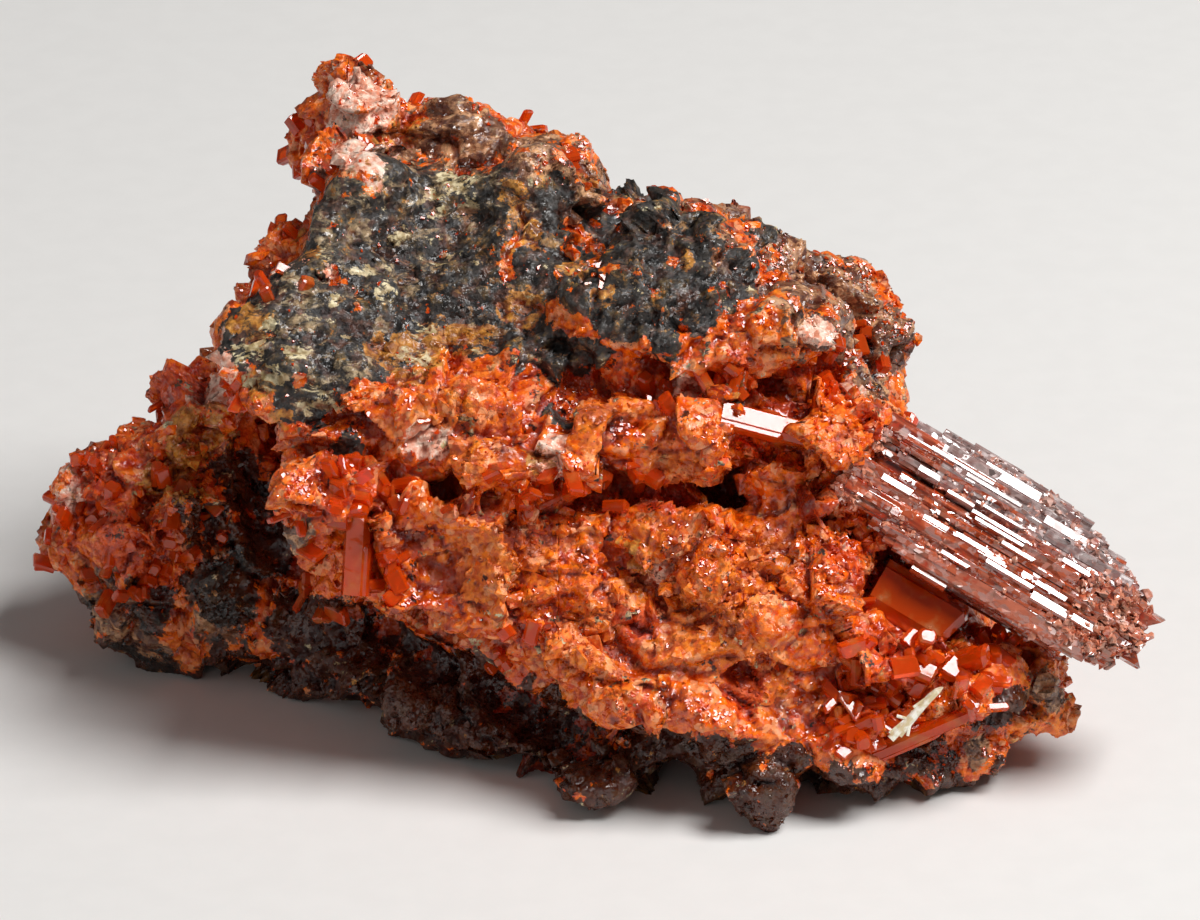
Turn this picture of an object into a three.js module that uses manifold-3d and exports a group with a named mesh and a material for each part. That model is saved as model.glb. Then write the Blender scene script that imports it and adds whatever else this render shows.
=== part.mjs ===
// A loose specimen of crocoite on its matrix, about 34 mm long, lying as it comes to rest.
// The matrix is one rough rock: a sloping black manganese oxide cap, a bright orange front with
// ledges and pits, a dark undercut base, and a lower lobe behind its left end.
// The larger crocoite crystals that stand out of it are pieces of their own: a striated bundle at the
// right, clear prisms in a pocket under it, a blade, a thin tablet, a pale needle and a peak crystal.
// Millimetres, +X to the right, +Y away from the viewer, +Z up, origin under the middle of the rock.
import * as THREE from "three";
import { ImprovedNoise } from "three/addons/math/ImprovedNoise.js";
import { ConvexGeometry } from "three/addons/geometries/ConvexGeometry.js";
import { mergeVertices } from "three/addons/utils/BufferGeometryUtils.js";
import Module from "manifold-3d";

const wasm = await Module();
wasm.setup();

// Driving dimensions
const CELL = 0.9; // spacing of the grid that the rock's surface is drawn on
const REACH = { low: [-21, -11, -2.7], high: [17, 15.5, 20.1] }; // the space the rock lies in
const LEAN = -28; // degrees that the broken front leans back from upright
const CAP = 35; // degrees that the black cap slopes from level
const MELT = 0.8; // how far the lumps of rock run into each other
const GAP = 0.3; // clearance round a crystal in its seat

// Forms of the rock, each with its centre, its half sizes and its turns about X, Y and Z in degrees
function form(kind, centre, half, turn = [0, 0, 0]) {
  const place = new THREE.Matrix4().makeRotationFromEuler(
    new THREE.Euler(...turn.map(THREE.MathUtils.degToRad)),
  );
  place.setPosition(...centre);
  return { kind, half: new THREE.Vector3(...half), inverse: place.invert() };
}
const lump = (centre, half, turn) => form("lump", centre, half, turn);
const block = (centre, half, turn) => form("block", centre, half, turn);

const ROCK = [
  // The sloping cap, its thick left rim and the mass that carries it
  block([-4.6, 2.5, 12.3], [4.6, 4.3, 1.9], [CAP, 0, -5]),
  block([-8.6, 0.9, 12.0], [2.9, 2.1, 1.5], [CAP, 3, 42]),
  lump([-4.6, 1.6, 9.9], [4.9, 4.6, 3.2], [20, 0, 0]),
  lump([-1.2, 4.4, 9.0], [7.2, 5.2, 5.2]),
  lump([-8.6, 3.6, 11.6], [2.4, 2.8, 2.4], [20, 0, 0]),
  // The broken front: an upright shelf above, a left shoulder, and a lower part that falls to the right
  block([0.4, 0.0, 6.9], [7.6, 4.0, 3.1], [LEAN, 0, 0]),
  block([-6.3, -0.7, 8.6], [3.0, 3.2, 2.7], [LEAN, 4, 0]),
  block([2.5, -1.4, 4.1], [7.0, 4.1, 2.5], [LEAN, 15, 0]),
  lump([6.3, -0.9, 8.9], [2.9, 3.0, 2.4], [LEAN, 30, 0]),
  block([-1.4, -0.9, 10.3], [4.9, 2.2, 0.8], [LEAN, 0, 0]),
  // The black crag, and the orange band that runs to its right end
  block([2.6, 1.1, 12.8], [2.8, 1.7, 2.8], [LEAN, 45, 0]),
  block([4.9, 0.0, 12.9], [2.7, 1.6, 1.0], [LEAN, 9, 0]),
  lump([0.6, 1.0, 12.9], [2.4, 2.0, 1.5]),
  // The ridge at the back, from its peak on the left down to the right
  block([-6.5, 9.2, 14.6], [2.0, 1.9, 2.0], [0, 8, 12]),
  lump([-4.6, 8.4, 14.2], [2.5, 2.6, 2.4]),
  lump([-2.0, 7.2, 13.4], [2.6, 2.9, 2.2]),
  lump([1.4, 5.2, 12.3], [3.0, 3.0, 2.1]),
  // The knob and the lobe behind the right shoulder
  lump([4.2, 7.7, 12.2], [0.9, 1.0, 1.5]),
  lump([5.8, 5.9, 10.4], [1.8, 2.0, 2.0]),
  lump([8.0, 4.7, 9.0], [1.4, 1.7, 2.0]),
  lump([4.6, 4.4, 7.8], [4.3, 4.4, 5.0]),
  // The base and the feet that it stands on
  lump([3.6, -1.2, 3.4], [8.2, 5.3, 3.7]),
  lump([-1.0, 4.6, 3.4], [8.8, 5.6, 4.1]),
  lump([-5.4, 0.9, 2.2], [3.0, 2.7, 3.0]),
  lump([-3.3, -2.0, 1.5], [2.4, 2.1, 2.1]),
  lump([-0.3, -4.7, 1.6], [1.8, 2.2, 2.3], [0, 0, 12]),
  lump([4.8, -5.7, 1.3], [1.6, 1.6, 1.8]),
  lump([8.2, -4.9, 1.6], [2.4, 2.0, 2.1]),
  lump([10.6, -3.9, 1.7], [2.4, 2.0, 1.9]),
  block([11.9, -3.4, 3.1], [2.3, 1.7, 1.1], [10, 14, 12]),
  // The lower lobe behind the left end
  lump([-12.9, 4.9, 4.0], [3.3, 3.1, 3.3]),
  lump([-11.9, 6.0, 6.9], [1.7, 2.2, 2.3]),
  lump([-15.5, 5.6, 3.6], [1.9, 2.3, 2.0]),
  lump([-13.6, 4.6, 1.3], [2.5, 2.3, 1.9]),
  lump([-9.0, 4.4, 2.7], [3.6, 3.2, 3.0]),
  lump([-6.6, 6.6, 9.0], [3.6, 3.8, 5.2]),
  // The back, which the photo doesn't show
  lump([2.4, 7.4, 6.4], [6.4, 3.4, 4.6]),
  lump([-4.2, 9.8, 5.2], [4.2, 2.7, 4.2]),
  lump([-9.6, 8.6, 4.0], [3.3, 2.7, 3.4]),
];

const HOLLOWS = [
  // The deep recess between the lower lobe and the front, and the undercut below the front's lip
  lump([-11.4, -0.9, 7.4], [2.7, 4.6, 3.9], [0, 0, -14]),
  lump([-8.2, -4.4, 3.4], [4.2, 4.2, 2.4], [0, -10, 22]),
  lump([-3.6, -5.9, 2.5], [3.6, 2.6, 1.9], [0, -12, 24]),
  lump([-5.6, -4.7, 4.0], [3.2, 2.4, 1.5], [0, 12, 20]),
  lump([1.2, -7.0, 2.6], [3.4, 1.2, 0.7], [LEAN, 12, 0]),
  lump([2.3, -7.2, 1.2], [1.4, 1.6, 1.3]),
  lump([6.6, -7.6, 0.7], [1.3, 1.6, 1.2]),
  lump([11.9, -6.6, 1.7], [2.6, 2.0, 1.1], [0, -14, 0]),
  // The two holes of the front, cut along the line of sight
  lump([4.0, -2.7, 9.1], [0.9, 2.6, 0.9], [LEAN, 0, 0]),
  lump([4.4, -1.3, 11.6], [0.8, 2.0, 0.6], [LEAN, 0, 0]),
  // The groove under the shelf, the gaps under the crag and under the cap's rim
  lump([-1.3, -3.3, 9.15], [4.6, 0.9, 0.45], [LEAN, 0, 0]),
  lump([3.6, -1.7, 12.0], [2.6, 1.0, 0.45], [LEAN, 6, 0]),
  lump([-6.4, -3.0, 10.4], [3.6, 0.9, 0.4], [LEAN, 8, 0]),
  lump([-1.0, -1.5, 11.7], [0.8, 1.2, 0.6]),
  // The rough concave middle
  lump([1.2, -4.6, 7.1], [1.8, 0.8, 1.1], [LEAN, 20, 0]),
  lump([-4.6, -4.1, 8.0], [1.2, 0.7, 0.9], [LEAN, 0, 0]),
  lump([4.6, -5.6, 4.9], [1.1, 0.6, 0.7], [LEAN, 0, 0]),
  // The crystal pocket at the lower right
  lump([9.6, -5.0, 5.9], [2.1, 1.5, 1.7], [LEAN, 25, 0]),
  lump([8.3, -6.3, 4.0], [1.3, 0.8, 0.9], [LEAN, 0, 0]),
  // Hollows of the lower lobe and of the back
  lump([-13.4, 1.7, 4.2], [1.2, 1.3, 0.9]),
  lump([-10.2, 2.8, 8.8], [1.5, 2.0, 1.5]),
  lump([1.8, 11.4, 8.8], [2.2, 1.5, 1.5]),
  lump([-7.4, 12.2, 8.6], [1.6, 1.4, 2.4]),
];

// The distance from a point to a form's surface, below zero inside: a lump is an ellipsoid, and a
// block is a box with its edges rounded by a fifth of its least half size.
const local = new THREE.Vector3();
function distance({ kind, half, inverse }, point) {
  local.copy(point).applyMatrix4(inverse);
  if (kind === "lump") {
    const near = local.divide(half);
    const far = near.clone().divide(half).length();
    const reach = near.length();
    return far < 1e-6 ? -Math.min(...half) : (reach * (reach - 1)) / far;
  }
  const round = Math.min(...half) / 5;
  const out = local.toArray().map((c, axis) => Math.abs(c) - half.getComponent(axis) + round);
  const outside = Math.hypot(...out.map((d) => Math.max(d, 0)));
  return outside + Math.min(Math.max(...out), 0) - round;
}

// The smaller of two distances, rounded off where they are within a given reach of each other
function melt(a, b, reach) {
  const h = Math.max(reach - Math.abs(a - b), 0) / reach;
  return Math.min(a, b) - (h * h * reach) / 4;
}

// Chipped faces: each scattered point has a shallow bowl about it, tilted its own way, and the surface
// follows whichever bowl is lowest, so that bowls meet in sharp ridges.
const fraction = (x) => x - Math.floor(x);
const scatter = (i, j, k, seed) =>
  fraction(Math.sin(i * 127.1 + j * 311.7 + k * 74.7 + seed * 53.3) * 43758.5453);
function chips(point, spacing, tilt) {
  const [i0, j0, k0] = point.toArray().map((c) => Math.floor(c / spacing));
  let lowest = Infinity;
  for (let i = i0 - 1; i <= i0 + 1; i++)
    for (let j = j0 - 1; j <= j0 + 1; j++)
      for (let k = k0 - 1; k <= k0 + 1; k++) {
        const [a, b, c, d, e, f] = [1, 2, 3, 4, 5, 6].map((seed) => scatter(i, j, k, seed));
        const dx = point.x / spacing - i - a;
        const dy = point.y / spacing - j - b;
        const dz = point.z / spacing - k - c;
        const slant = (dx * (d - 0.5) + dy * (e - 0.5) + dz * (f - 0.5)) * tilt;
        lowest = Math.min(lowest, dx * dx + dy * dy + dz * dz + slant);
      }
  return lowest * spacing;
}

// The rock's own distance: its lumps melted together, less its hollows, chipped and roughened
const noise = new ImprovedNoise();
function rockDistance(point) {
  let d = Infinity;
  for (const f of ROCK) d = melt(distance(f, point), d, MELT);
  d += 0.25 - 0.55 * chips(point, 2.7, 1.3);
  d += 0.35 * noise.noise(point.x / 2.1, point.y / 2.1, point.z / 2.1);
  for (const f of HOLLOWS) d = -melt(-d, distance(f, point), MELT / 2);
  return d + 0.25 * noise.noise(point.x / 1.1 + 9, point.y / 1.1, point.z / 1.1);
}

// A closed surface round all points of a grid where the distance is below zero: one vertex in each
// cell that the surface crosses, at the mean of its crossings, and one quad for each crossed edge.
function surfaceOf(distanceAt, { low, high }, cell) {
  const size = low.map((c, axis) => Math.ceil((high[axis] - c) / cell) + 1);
  const at = (i, j, k) => (k * size[1] + j) * size[0] + i;
  const value = new Float64Array(size[0] * size[1] * size[2]);
  const point = new THREE.Vector3();
  for (let k = 0; k < size[2]; k++)
    for (let j = 0; j < size[1]; j++)
      for (let i = 0; i < size[0]; i++) {
        point.set(low[0] + i * cell, low[1] + j * cell, low[2] + k * cell);
        value[at(i, j, k)] = distanceAt(point);
      }
  const corners = [0, 1, 2, 3, 4, 5, 6, 7].map((c) => [c & 1, (c >> 1) & 1, c >> 2]);
  fillPinches(value, size, at, corners, cell);
  const edges = [];
  for (let m = 0; m < 8; m++)
    for (const bit of [1, 2, 4]) if (!(m & bit)) edges.push([m, m | bit]);
  const vertexOf = new Map();
  const positions = [];
  for (let k = 0; k < size[2] - 1; k++)
    for (let j = 0; j < size[1] - 1; j++)
      for (let i = 0; i < size[0] - 1; i++) {
        const v = corners.map(([a, b, c]) => value[at(i + a, j + b, k + c)]);
        if (v.every((x) => x < 0) || v.every((x) => x >= 0)) continue;
        const crossed = edges.filter(([m, n]) => v[m] < 0 !== v[n] < 0);
        const mean = [0, 0, 0];
        for (const [m, n] of crossed) {
          const share = v[m] / (v[m] - v[n]);
          for (let t = 0; t < 3; t++)
            mean[t] += (corners[m][t] + share * (corners[n][t] - corners[m][t])) / crossed.length;
        }
        vertexOf.set(at(i, j, k), positions.length / 3);
        positions.push(...[i, j, k].map((c, t) => low[t] + (c + mean[t]) * cell));
      }
  const index = [];
  for (let k = 1; k < size[2] - 1; k++)
    for (let j = 1; j < size[1] - 1; j++)
      for (let i = 1; i < size[0] - 1; i++)
        for (let axis = 0; axis < 3; axis++) {
          const next = [i, j, k];
          next[axis]++;
          const here = value[at(i, j, k)] < 0;
          if (here === value[at(...next)] < 0) continue;
          const [u, w] = [(axis + 1) % 3, (axis + 2) % 3];
          const ring = [[0, 0], [1, 0], [1, 1], [0, 1]].map(([du, dw]) => {
            const c = [i, j, k];
            c[u] -= du;
            c[w] -= dw;
            return vertexOf.get(at(...c));
          });
          const [a, b, c, d] = here ? ring : ring.reverse();
          index.push(a, b, c, a, c, d);
        }
  const geometry = new THREE.BufferGeometry();
  geometry.setAttribute("position", new THREE.Float32BufferAttribute(positions, 3));
  geometry.setIndex(index);
  return geometry;
}

// Parts of the rock that only touch at an edge or a corner of the grid would pinch the surface, so
// the empty corner between them is filled, until none is left.
function fillPinches(value, size, at, corners, cell) {
  const filled = -0.05 * cell;
  let found = true;
  while (found) {
    found = false;
    for (let k = 0; k < size[2] - 1; k++)
      for (let j = 0; j < size[1] - 1; j++)
        for (let i = 0; i < size[0] - 1; i++) {
          const spots = corners.map(([a, b, c]) => at(i + a, j + b, k + c));
          const solid = spots.map((s) => value[s] < 0);
          const count = solid.filter(Boolean).length;
          if (count === 0 || count === 8) continue;
          for (const bit of [1, 2, 4])
            for (const side of [0, bit]) {
              const face = [0, 1, 2, 3, 4, 5, 6, 7].filter((c) => (c & bit) === side);
              const [p, q, r, s] = face.map((c) => solid[c]);
              if (p !== s || q !== r || p === q) continue;
              value[spots[face[p ? 1 : 0]]] = filled;
              found = true;
            }
          for (let c = 0; c < 4; c++) {
            const apart = solid[c] && solid[7 - c] && count === 2;
            const holes = !solid[c] && !solid[7 - c] && count === 6;
            if (!apart && !holes) continue;
            value[spots[apart ? c ^ 1 : c]] = filled;
            found = true;
          }
        }
  }
}

// Solids are joined and cut with manifold-3d, which wants merged corners and nothing but positions
function toSolid(geometry) {
  const bare = geometry.clone();
  for (const name of Object.keys(bare.attributes)) if (name !== "position") bare.deleteAttribute(name);
  const merged = mergeVertices(bare, 1e-4);
  return new wasm.Manifold(
    new wasm.Mesh({
      numProp: 3,
      vertProperties: merged.attributes.position.array,
      triVerts: new Uint32Array(merged.index.array),
    }),
  );
}
function toGeometry(solid) {
  const { vertProperties, triVerts } = solid.getMesh();
  const geometry = new THREE.BufferGeometry();
  geometry.setAttribute("position", new THREE.BufferAttribute(vertProperties, 3));
  geometry.setIndex(new THREE.BufferAttribute(triVerts, 1));
  geometry.computeVertexNormals();
  return geometry;
}
const biggest = (solid) => solid.decompose().reduce((a, b) => (b.volume() > a.volume() ? b : a));

// A crystal is a prism from its root to its tip. Its section is a flat eight-sided one, as broad as
// its width across the face that looks out, and its tip is cut at a slant.
function prism({ root, tip, out, width, thick, slant = 0.3 }, margin = 0) {
  const start = new THREE.Vector3(...root);
  const end = new THREE.Vector3(...tip);
  const along = end.clone().sub(start).normalize();
  const across = new THREE.Vector3(...out).cross(along).normalize();
  const face = along.clone().cross(across);
  start.addScaledVector(along, -margin);
  const [w, t] = [width / 2 + margin, thick / 2 + margin];
  const corners = [];
  for (const [x, y] of [[1, 0.45], [0.72, 1], [-0.72, 1], [-1, 0.45], [-1, -0.45], [-0.72, -1], [0.72, -1], [1, -0.45]])
    for (const [base, lean] of [[start, 0], [end, slant]])
      corners.push(
        base
          .clone()
          .addScaledVector(across, x * w)
          .addScaledVector(face, y * t)
          .addScaledVector(along, x * lean * w),
      );
  return toSolid(new ConvexGeometry(corners));
}

// The striated bundle: its frame runs along the bars, across them up to the right, and out to the
// viewer. Each bar has its place across and out, its width and thickness, and where it starts and ends.
const ALONG = new THREE.Vector3(0.861, -0.228, -0.455).normalize();
const OUT = new THREE.Vector3(0, -0.893, 0.45).normalize();
const ACROSS = OUT.clone().cross(ALONG).normalize();
const inBundle = (s, r, h) =>
  new THREE.Vector3()
    .addScaledVector(ALONG, s)
    .addScaledVector(ACROSS, r)
    .addScaledVector(OUT, h)
    .toArray();
const BARS = [
  { at: [11.6, 5.6], size: [1.2, 1.6], span: [2.3, 11.4] },
  { at: [10.75, 5.5], size: [1.1, 2.3], span: [2.3, 12.4] },
  { at: [9.95, 5.75], size: [0.9, 2.6], span: [2.6, 13.7] },
  { at: [9.35, 5.55], size: [1.0, 2.4], span: [2.5, 13.3] },
  { at: [8.6, 5.85], size: [0.9, 2.2], span: [8.6, 12.6] },
  { at: [10.2, 4.3], size: [2.2, 1.3], span: [2.3, 9.6] },
  { at: [10.6, 6.75], size: [0.5, 0.7], span: [3.6, 9.2] },
  { at: [12.15, 5.3], size: [0.6, 1.0], span: [4.6, 10.4] },
  { at: [9.3, 6.8], size: [0.5, 0.6], span: [4.2, 10.8] },
];
const bar = ({ at: [r, h], size: [width, thick], span: [s0, s1] }, n) => ({
  root: inBundle(s0, r, h),
  tip: inBundle(s1, r, h),
  out: OUT.toArray(),
  width,
  thick,
  slant: n % 2 ? 0.7 : -0.5,
});

const crocoite = (color, opacity = 1) =>
  new THREE.MeshStandardMaterial({
    color,
    roughness: 0.25,
    metalness: 0,
    opacity,
    transparent: opacity < 1,
  });
const CRYSTALS = {
  striated_bundle: { prisms: BARS.map(bar), material: crocoite(0x9a4a35) },
  blade_crystal: {
    prisms: [
      { root: [3.6, -1.9, 11.15], tip: [6.5, -2.3, 10.6], out: [0, -0.35, 0.94], width: 1.6, thick: 0.5 },
    ],
    material: crocoite(0xd9683c, 0.8),
  },
  gem_prism: {
    prisms: [
      {
        root: inBundle(5.1, 7.6, 5.5),
        tip: inBundle(7.9, 7.6, 5.5),
        out: OUT.toArray(),
        width: 1.8,
        thick: 1.6,
      },
    ],
    material: crocoite(0xb52a0c, 0.6),
  },
  pocket_prism: {
    prisms: [
      {
        root: inBundle(2.4, 8.0, 5.0),
        tip: inBundle(4.3, 7.9, 5.7),
        out: OUT.toArray(),
        width: 1.2,
        thick: 1.0,
      },
    ],
    material: crocoite(0xb52a0c, 0.6),
  },
  cross_prism: {
    prisms: [{ root: [10.3, -4.7, 3.9], tip: [11.6, -5.2, 4.75], out: [0, -0.89, 0.45], width: 0.7, thick: 0.7 }],
    material: crocoite(0xc8502c, 0.8),
  },
  edge_prism: {
    prisms: [{ root: [8.2, -6.5, 2.0], tip: [11.3, -6.1, 3.3], out: [0, -0.89, 0.45], width: 0.8, thick: 1.0 }],
    material: crocoite(0xd8451a, 0.7),
  },
  pale_needle: {
    prisms: [
      { root: [8.7, -7.0, 2.9], tip: [10.15, -6.3, 4.25], out: [0, -0.89, 0.45], width: 0.32, thick: 0.32, slant: 0 },
    ],
    material: crocoite(0xe8dca8),
  },
  tabular_crystal: {
    prisms: [
      { root: [-7.35, -4.4, 6.4], tip: [-7.2, -3.3, 8.75], out: [-0.3, -0.86, 0.4], width: 0.85, thick: 1.1, slant: 0 },
    ],
    material: crocoite(0xd24812, 0.6),
  },
  peak_crystal: {
    prisms: [
      { root: [-7.2, 8.4, 13.8], tip: [-8.7, 8.1, 15.8], out: [-0.3, -0.9, 0.3], width: 1.3, thick: 1.1 },
    ],
    material: crocoite(0xa8321a, 0.7),
  },
};

// Small crystals of the pocket, which grow out of the rock and stay part of it
const DRUSE = [
  { root: [7.6, -4.6, 4.4], tip: [7.9, -5.9, 5.0], out: [0, 0, 1], width: 0.8, thick: 0.6 },
  { root: [8.2, -4.8, 3.6], tip: [8.7, -6.2, 4.4], out: [0, 0, 1], width: 0.7, thick: 0.9 },
  { root: [7.2, -4.9, 3.4], tip: [7.3, -6.4, 3.9], out: [1, 0, 1], width: 0.8, thick: 0.7 },
  { root: [9.2, -4.4, 3.9], tip: [9.4, -5.7, 4.9], out: [0, 0, 1], width: 1.1, thick: 1.0 },
];

// The rock stands on the plane that cuts its feet flat, and the crystals' seats are cut out of it
const below = toSolid(new THREE.BoxGeometry(60, 60, 10).translate(0, 0, -5));
let rock = toSolid(surfaceOf(rockDistance, REACH, CELL));
for (const crystal of DRUSE) rock = rock.add(prism(crystal));
rock = rock.subtract(below);
for (const { prisms } of Object.values(CRYSTALS))
  for (const crystal of prisms) rock = rock.subtract(prism(crystal, GAP));

const specimen = new THREE.Group();
function add(name, solid, material) {
  const mesh = new THREE.Mesh(toGeometry(solid), material);
  mesh.name = name;
  specimen.add(mesh);
}
add("matrix", biggest(rock), new THREE.MeshStandardMaterial({ color: 0xa0522d, roughness: 0.85, metalness: 0 }));
for (const [name, { prisms, material }] of Object.entries(CRYSTALS))
  add(name, prisms.map((crystal) => prism(crystal)).reduce((a, b) => a.add(b)), material);

// The origin goes under the middle of the whole
const bounds = new THREE.Box3().setFromObject(specimen);
const middle = bounds.getCenter(new THREE.Vector3());
specimen.position.set(-middle.x, -middle.y, -bounds.min.z);

export default specimen;
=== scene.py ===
"""A loose specimen of crocoite on its matrix, about 34 mm long, on a pale studio floor."""

import bmesh
import bpy
import numpy as np
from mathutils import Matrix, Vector
from mathutils.bvhtree import BVHTree


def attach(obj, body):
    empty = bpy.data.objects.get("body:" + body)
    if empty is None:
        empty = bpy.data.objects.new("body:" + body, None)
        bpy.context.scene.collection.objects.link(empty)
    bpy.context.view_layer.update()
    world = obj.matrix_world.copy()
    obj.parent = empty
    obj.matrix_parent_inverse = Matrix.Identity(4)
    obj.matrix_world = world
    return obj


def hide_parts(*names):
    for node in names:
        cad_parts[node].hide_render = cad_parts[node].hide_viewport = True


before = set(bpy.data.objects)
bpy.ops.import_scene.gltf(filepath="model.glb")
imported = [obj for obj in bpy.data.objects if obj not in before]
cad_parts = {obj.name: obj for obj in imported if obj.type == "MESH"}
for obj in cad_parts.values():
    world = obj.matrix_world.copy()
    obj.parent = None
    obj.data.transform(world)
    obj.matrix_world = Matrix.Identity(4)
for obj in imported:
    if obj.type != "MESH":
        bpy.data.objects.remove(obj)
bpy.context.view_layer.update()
MM = 0.001

# The photograph was taken from straight in front, looking down on the specimen, from 220 mm away.
# One of its pixels covers 0.03 mm where it is sharp. A feature is placed by its pixel of the photograph,
# on whatever part of the rock lies there.
PHOTO_WIDTH, PHOTO_HEIGHT = 1200, 920
PIXEL = 0.03 * MM
FAR = 220 * MM
LOOK_DOWN = np.radians(27)
AIM = Vector((0.26, -5.38, 10.14)) * MM

camera = bpy.data.objects.new("camera", bpy.data.cameras.new("camera"))
camera.data.lens = FAR / MM
camera.data.sensor_width = PIXEL * PHOTO_WIDTH / MM
camera.data.clip_start = 0.01
camera.location = AIM + FAR * Vector((0, -np.cos(LOOK_DOWN), np.sin(LOOK_DOWN)))
camera.rotation_euler = (np.pi / 2 - LOOK_DOWN, 0, 0)
bpy.context.collection.objects.link(camera)
bpy.context.scene.camera = camera

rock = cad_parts["matrix"]
rock_tree = BVHTree.FromPolygons(
    [v.co for v in rock.data.vertices], [p.vertices[:] for p in rock.data.polygons]
)


def sharp_at(u, v):
    """Where the line of sight through a pixel is sharp: AIM plus the pixel's offset from the middle."""
    across = Vector((1, 0, 0)) * (u - PHOTO_WIDTH / 2) * PIXEL
    up = Vector((0, np.sin(LOOK_DOWN), np.cos(LOOK_DOWN))) * (PHOTO_HEIGHT / 2 - v) * PIXEL
    return AIM + across + up


def spot(u, v):
    """The point in mm where the line of sight through a pixel first meets the rock: the camera's place
    plus the least multiple of its direction that lies on a face. Where it passes the rock by, the
    nearest point of the rock to where it is sharp."""
    hit = rock_tree.ray_cast(camera.location, sharp_at(u, v) - camera.location)[0]
    return np.array(hit or rock_tree.find_nearest(sharp_at(u, v))[0]) / MM


# The floor is a plain pale sheet, and the light is soft, mostly from a broad panel overhead.
floor_mesh = bpy.data.meshes.new("floor")
SPREAD = 1.5
corners = [(x * SPREAD, y * SPREAD, 0) for x, y in ((-1, -1), (1, -1), (1, 1), (-1, 1))]
floor_mesh.from_pydata(corners, [], [(0, 1, 2, 3)])
floor = bpy.data.objects.new("floor", floor_mesh)
bpy.context.collection.objects.link(floor)


class Shade:
    """One output of a material's nodes. Adding, subtracting or multiplying such outputs writes the maths
    nodes between them, and node() writes every other kind of node."""

    def __init__(self, tree, out=None):
        self.tree = tree
        self.out = out

    def node(self, kind, settings=None, values=None, out=0):
        """A new node of a type, given its settings and the values of its inputs."""
        made = self.tree.nodes.new("ShaderNode" + kind)
        for name, setting in (settings or {}).items():
            setattr(made, name, setting)
        for name, value in (values or {}).items():
            if isinstance(value, Shade):
                self.tree.links.new(value.out, made.inputs[name])
            else:
                made.inputs[name].default_value = value
        return Shade(self.tree, made.outputs[out])

    def maths(self, operation, *terms):
        """A number worked out from others."""
        return self.node("Math", {"operation": operation}, dict(enumerate(terms)))

    def __add__(self, other):
        return self.maths("ADD", self, other)

    __radd__ = __add__

    def __sub__(self, other):
        return self.maths("SUBTRACT", self, other)

    def __rsub__(self, other):
        return self.maths("SUBTRACT", other, self)

    def __mul__(self, other):
        return self.maths("MULTIPLY", self, other)

    __rmul__ = __mul__

    def feed(self, socket):
        """Links this to an input of the material's shader or output."""
        self.tree.links.new(self.out, socket)

    def rise(self, low, high):
        """0 below low, 1 above high, and smooth between."""
        values = {"Value": self, "From Min": low, "From Max": high}
        return self.node("MapRange", {"interpolation_type": "SMOOTHSTEP"}, values)

    def between(self, first, second):
        """The first colour where this is 0, the second where it is 1."""
        return self.node("Mix", {"data_type": "RGBA"}, {0: self, 6: first, 7: second}, 2)

    def vector(self, operation, *terms):
        """A vector or colour worked out from others, number by number."""
        return self.node("VectorMath", {"operation": operation}, dict(enumerate(terms)))

    def scaled(self, times):
        """This vector times a number."""
        return self.node("VectorMath", {"operation": "SCALE"}, {0: self, "Scale": times})

    def stored(self, name):
        """The number that a mesh holds at each point under a name."""
        return self.node("Attribute", {"attribute_name": name}, out="Fac")

    def noise(self, scale, detail, out=0, **others):
        """Smooth noise at this place, or three noises as a colour where out says so."""
        values = {"Vector": self, "Scale": scale, "Detail": detail, **others}
        return self.node("TexNoise", values=values, out=out)

    def cells(self, scale):
        """A random colour for each cell around this place."""
        return self.node("TexVoronoi", values={"Vector": self, "Scale": scale}, out="Color")

    def parts(self):
        """A colour's red, green and blue. Those of a noise are three noises of their own."""
        return [self.node("SeparateColor", values={"Color": self}, out=n) for n in range(3)]


def material(name):
    """A new material, where its nodes start, its shader's inputs, and the place on the piece in mm."""
    made = bpy.data.materials.new(name)
    made.use_nodes = True
    tree = made.node_tree
    surface = tree.nodes["Principled BSDF"].inputs
    base = Shade(tree)
    place = base.node("TexCoord", out="Object").scaled(1 / MM)
    return made, base, surface, place


def rgb(r, g, b):
    """A colour given as it looks on a screen, from 0 to 255, turned into linear light."""
    c = np.array([r, g, b]) / 255
    return (*np.where(c < 0.04, c / 12.92, ((c + 0.055) / 1.055) ** 2.4).tolist(), 1.0)


made, base, surface, place = material("floor_paper")
grain = place.noise(0.8, 4.0)
colour = grain.rise(0.3, 0.7).between(rgb(229, 227, 224), rgb(231, 229, 226))
colour.feed(surface["Base Color"])
surface["Roughness"].default_value = 0.9
floor.data.materials.append(made)


def panel(name, place, size, power, towards=AIM):
    """A square area light, in mm from the specimen's middle, turned to face it."""
    light = bpy.data.lights.new(name, "AREA")
    light.shape = "SQUARE"
    light.size = size * MM
    light.energy = power
    lamp = bpy.data.objects.new(name, light)
    lamp.location = towards + Vector(place) * MM
    lamp.rotation_euler = (towards - lamp.location).to_track_quat("-Z", "Y").to_euler()
    bpy.context.collection.objects.link(lamp)


panel("overhead", (145, -35, 245), 130, 1.0)
panel("left_fill", (-300, -60, 160), 220, 0.07)
panel("front_fill", (-160, -330, 60), 200, 0.09)
world = bpy.data.worlds.new("studio")
world.use_nodes = True
sky = world.node_tree.nodes["Background"].inputs
sky["Color"].default_value = (1, 1, 1, 1)
sky["Strength"].default_value = 0.09
bpy.context.scene.world = world
bpy.context.scene.view_settings.view_transform = "Standard"


# The matrix is one rough rock about 31 mm long, of rusty limonite and granular crocoite under a black cap
# of manganese oxide. It lies loose on its base, and all the rest grew on it. It is redrawn from its CAD
# solid with a fine skin, on which ledges and broken faces are raised, and parted into closed blocks.
SKIN = 0.11 * MM


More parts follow.
